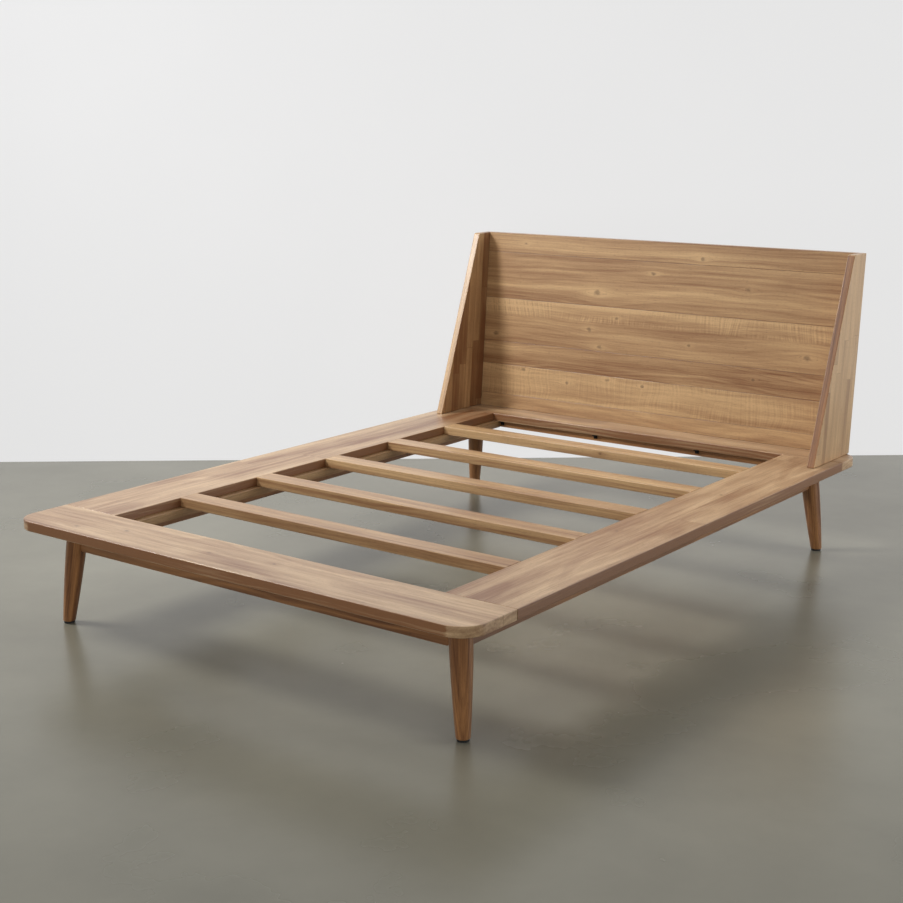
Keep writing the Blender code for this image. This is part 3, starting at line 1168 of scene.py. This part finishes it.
# ---------------------------------------------------------------- fixings
@dataclass
class Fixings:
    """Steel angles at the head rail, and the screws that show."""

    brackets: int = 3
    bracket_hole: float = 0.0085
    bracket_thick: float = 0.0025
    ledger_screws: int = 7
    head_radius: float = 0.0036
    head_thick: float = 0.0014
    head_sides: int = 24
    head_edge: float = 0.0006
    drive_rim: float = 0.45
    drive_depth: float = 0.6

    def build(self) -> None:
        """Dresses the angles and sets the screws."""
        master = self.screw()
        drop, thick = self.bracket_hole, self.bracket_thick
        for number in range(1, self.brackets + 1):
            node = f"head_bracket_{number}"
            BlackSteel().dress(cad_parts[node])
            low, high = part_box(node)
            x = (low.x + high.x) / 2
            self.set_screw(master, f"rail_screw_{number}", Vector((x, high.y - thick, high.z - drop)), -Y)
            self.set_screw(master, f"board_screw_{number}", Vector((x, high.y - drop, high.z - thick)), -Z)
        for side in Side:
            low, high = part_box("slat_ledger_" + side.value)
            for step in range(self.ledger_screws):
                y = low.y + (high.y - low.y) * (step + 0.5) / self.ledger_screws
                self.set_screw(master, f"ledger_screw_{side.value}_{step + 1}",
                               Vector(((low.x + high.x) / 2, y, low.z)), -Z)
        bpy.data.objects.remove(master)

    def screw(self) -> bpy.types.Object:
        """Makes a screw head that faces up, with the round recess of its drive.

        Returns:
            The screw head.
        """
        bpy.ops.object.select_all(action="DESELECT")
        bpy.ops.mesh.primitive_cylinder_add(vertices=self.head_sides, radius=self.head_radius,
                                            depth=self.head_thick, location=(0.0, 0.0, self.head_thick / 2))
        screw = started("screw")
        ease(screw, self.head_edge, 2, lambda middle, along: middle.z > self.head_thick * 0.9)
        choose(screw, lambda middle, normal: normal.z > 0.99, Pick.FACE)
        bpy.ops.mesh.inset(thickness=self.head_radius * self.drive_rim)
        recess = (0.0, 0.0, -self.head_thick * self.drive_depth)
        bpy.ops.mesh.extrude_region_move(TRANSFORM_OT_translate={"value": recess})
        close_up()
        BlackSteel().dress(screw)
        return polish(screw, 35.0)

    @staticmethod
    def set_screw(master: bpy.types.Object, name: str, spot: Vector, facing: Vector) -> None:
        """Sets one screw with its head facing a way."""
        turn = facing.to_track_quat("Z", "Y").to_matrix().to_4x4()
        fitted(copied(master, name, Matrix.Translation(spot) @ turn))


# ---------------------------------------------------------------- studio
@dataclass(frozen=True)
class Lamp:
    """One soft round light: its place, the point it faces, its width, its watts and its beam in degrees."""

    name: str
    spot: tuple[float, float, float]
    goal: tuple[float, float, float]
    size: float
    power: float
    spread: float = 150.0
    mirrored: bool = True

    def hang(self) -> None:
        """Hangs the light."""
        light = bpy.data.lights.new(self.name, "AREA")
        light.shape, light.size, light.energy = "DISK", self.size, self.power
        light.spread = math.radians(self.spread)
        hung = bpy.data.objects.new(self.name, light)
        hung.location = self.spot
        hung.rotation_euler = (Vector(self.goal) - Vector(self.spot)).to_track_quat("-Z", "Y").to_euler()
        hung.visible_glossy = self.mirrored
        bpy.context.collection.objects.link(hung)


@dataclass
class Studio:
    """A plain room, its soft lights and the camera."""

    eye: tuple[float, float, float] = (2.6506, -3.6244, 1.416)
    yaw: float = 37.11
    pitch: float = 12.68
    roll: float = -0.11
    lens: float = 61.26
    sensor: float = 36.0
    lamps: tuple[Lamp, ...] = (
        Lamp("key", (-2.6, -1.6, 2.9), (0.0, 0.5, 0.5), 1.2, 40.0, 100.0),
        Lamp("top", (-0.2, 1.0, 3.6), (-0.2, 0.9, 0.0), 3.2, 13.0),
        Lamp("front", (0.9, -5.2, 0.8), (0.0, 0.0, 0.3), 2.2, 34.0, mirrored=False),
        Lamp("side", (3.4, 1.6, 1.3), (0.3, 0.3, 0.4), 2.2, 28.0),
    )
    air: Colour = (1.0, 0.995, 0.985)
    ambient: float = 0.26
    backdrop: float = 0.80
    room_size: float = 24.0
    floor_colour: Colour = srgb(134, 131, 116)
    floor_roughness: float = 0.24
    floor_cloud: float = 0.06
    wall_colour: Colour = srgb(118, 118, 119)
    wall_roughness: float = 0.9
    wall_cloud: float = 0.01
    wall_glow: float = 0.68
    wall_rise: float = 4.0
    wall_from: tuple[float, float] = (-2.510, 0.140)
    wall_to: tuple[float, float] = (0.395, 2.459)

    def build(self) -> None:
        """Sets up the room, the lights and the camera."""
        self.room()
        self.lights()
        self.camera()

    def room(self) -> None:
        """Lays the floor and stands the wall."""
        bpy.ops.object.select_all(action="DESELECT")
        bpy.ops.mesh.primitive_plane_add(size=self.room_size, location=(0.0, 0.0, 0.0))
        floor = bpy.context.object
        floor.name = "floor"
        floor.data.materials.append(
            self.plain("floor", self.floor_colour, self.floor_roughness, self.floor_cloud))
        start, stop = Vector((*self.wall_from, 0.0)), Vector((*self.wall_to, 0.0))
        along = (stop - start).normalized()
        middle = (start + stop) / 2 + Z * self.wall_rise
        bpy.ops.mesh.primitive_plane_add(size=self.room_size, location=middle,
                                         rotation=(math.pi / 2, 0.0, math.atan2(along.y, along.x)))
        wall = bpy.context.object
        wall.name = "wall"
        plaster = self.plain("wall", self.wall_colour, self.wall_roughness, self.wall_cloud)
        shader = plaster.node_tree.nodes["Principled BSDF"]
        shader.inputs["Emission Color"].default_value = (1.0, 1.0, 1.0, 1.0)
        shader.inputs["Emission Strength"].default_value = self.wall_glow
        self.one_sided(plaster)
        wall.data.materials.append(plaster)

    @staticmethod
    def plain(name: str, colour: Colour, roughness: float, cloud: float) -> bpy.types.Material:
        """A plain surface with a faint cloud in it.

        Args:
            name: Its name.
            colour: Its colour.
            roughness: Its roughness where it is palest.
            cloud: A quarter of how much darker the clouds are.

        Returns:
            The finished material.
        """
        material, graph, shader, place = blank(name)
        clouds = graph.noise(place, 1.4, 5.0, 0.6)
        darker = tuple(part * (1 - cloud * 4) for part in colour)
        graph.join(graph.tint(graph.spread(clouds, 0.3, 0.7), colour, darker), shader.inputs["Base Color"])
        graph.join(graph.spread(clouds, 0.3, 0.7, roughness, roughness * 1.2), shader.inputs["Roughness"])
        return material

    @staticmethod
    def one_sided(material: bpy.types.Material) -> None:
        """Leaves a surface clear from behind, so that it hides nothing there.

        Args:
            material: The material of that surface.
        """
        graph = Graph(material.node_tree)
        shader, finish = (graph.tree.nodes[name] for name in ("Principled BSDF", "Material Output"))
        mix = graph.add("MixShader", None, Fac=graph.add("NewGeometry").outputs["Backfacing"])
        graph.join(shader.outputs[0], mix.inputs[1])
        graph.join(graph.add("BsdfTransparent").outputs[0], mix.inputs[2])
        graph.join(mix.outputs[0], finish.inputs["Surface"])

    def lights(self) -> None:
        """Hangs the lights and fills the room with pale light."""
        for lamp in self.lamps:
            lamp.hang()
        world = bpy.data.worlds.new("room")
        world.use_nodes = True
        background = world.node_tree.nodes["Background"]
        background.inputs["Color"].default_value = (*self.air, 1.0)
        graph = Graph(world.node_tree)
        seen = graph.add("LightPath").outputs["Is Camera Ray"]
        graph.join(graph.spread(seen, 0.0, 1.0, self.ambient, self.backdrop), background.inputs["Strength"])
        bpy.context.scene.world = world
        bpy.context.scene.view_settings.view_transform = "Standard"

    def camera(self) -> None:
        """Stands the camera."""
        yaw, pitch, roll = (math.radians(angle) for angle in (self.yaw, self.pitch, self.roll))
        ahead = Vector((-math.sin(yaw) * math.cos(pitch), math.cos(yaw) * math.cos(pitch), -math.sin(pitch)))
        right = Vector((math.cos(yaw), math.sin(yaw), 0.0))
        up = right.cross(ahead)
        right, up = (math.cos(roll) * right + math.sin(roll) * up,
                     math.cos(roll) * up - math.sin(roll) * right)
        data = bpy.data.cameras.new("camera")
        data.lens, data.sensor_width = self.lens, self.sensor
        camera = bpy.data.objects.new("camera", data)
        turn = Matrix((right, up, -ahead)).transposed().to_4x4()
        camera.matrix_world = Matrix.Translation(self.eye) @ turn
        bpy.context.collection.objects.link(camera)
        bpy.context.scene.camera = camera


def main() -> None:
    """Builds the bed and its room in order."""
    logging.basicConfig(level=logging.INFO, format="%(name)s: %(message)s")
    for assembly in (Deck(), Underframe(), Legs(), Headboard(), Fixings(), Studio()):
        LOG.info("building %s", type(assembly).__name__)
        assembly.build()


if __name__ == "__main__":
    main()
